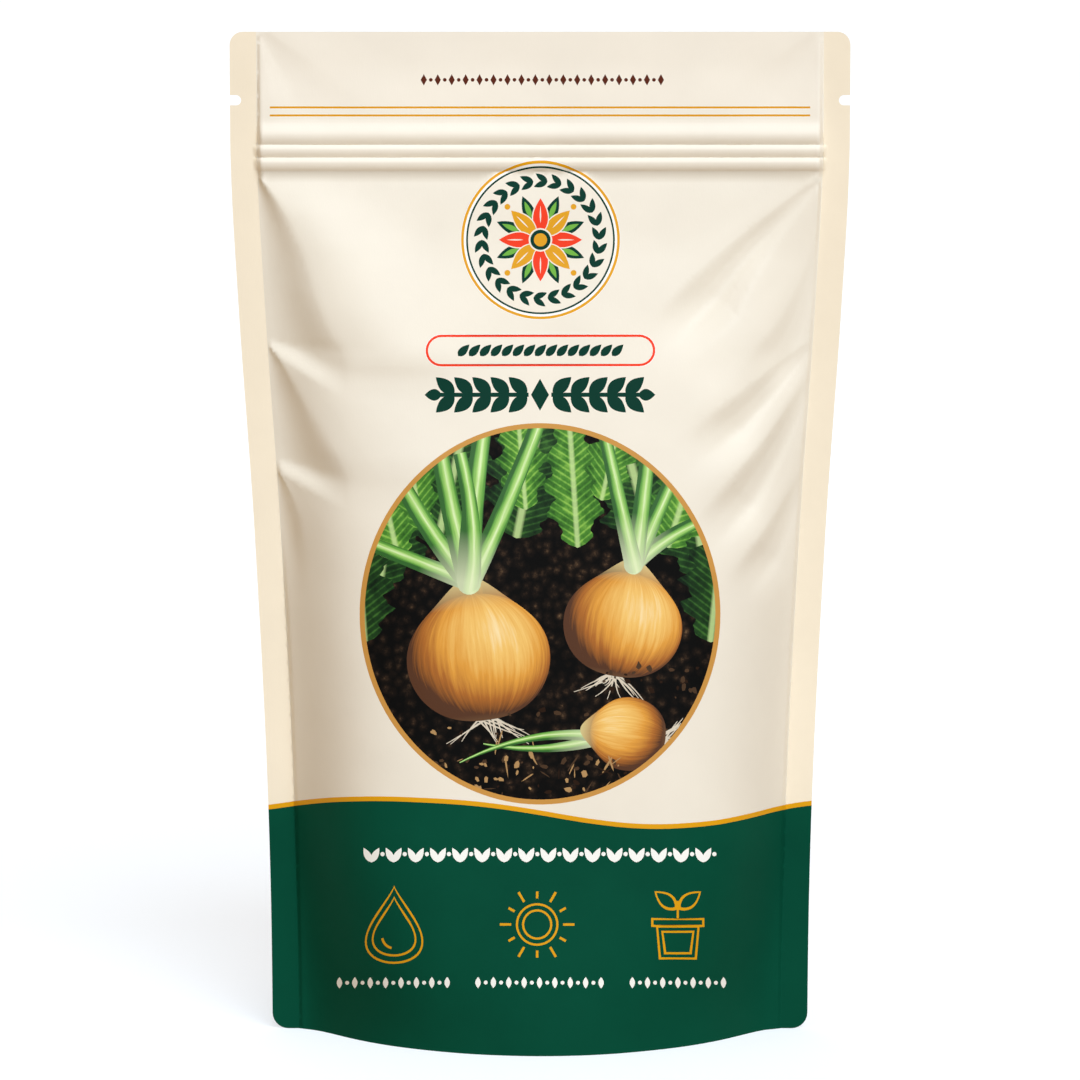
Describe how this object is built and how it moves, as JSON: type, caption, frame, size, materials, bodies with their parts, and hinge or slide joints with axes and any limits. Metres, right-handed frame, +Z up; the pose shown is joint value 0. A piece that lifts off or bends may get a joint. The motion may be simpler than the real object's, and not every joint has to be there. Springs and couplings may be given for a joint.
{
  "type": "stand-up pouch",
  "caption": "Filled stand-up film pouch with side seals, a folded bottom gusset, a press zipper, tear notches and loose seeds inside.",
  "frame": {"origin": "middle of the pouch's footprint, on the surface that it stands on", "axes": "+Z up the pouch, +X across it to the right as its front is seen, the front faces -Y"},
  "size_m": [0.13, 0.0578, 0.212],
  "materials": {
    "printed_film_front": "matte laminated film",
    "printed_film_back": "matte laminated film",
    "printed_film_base": "matte laminated film",
    "zipper_polyethylene": "satin translucent polyethylene",
    "brown_seeds": "dull, dry seeds"
  },
  "bodies": {
    "root": {"front_panel": "printed_film_front", "back_panel": "printed_film_back", "bottom_gusset": "printed_film_base", "zipper_rib_strip": "zipper_polyethylene", "zipper_groove_strip": "zipper_polyethylene", "seed_fill": "brown_seeds"}
  },
  "joints": []
}
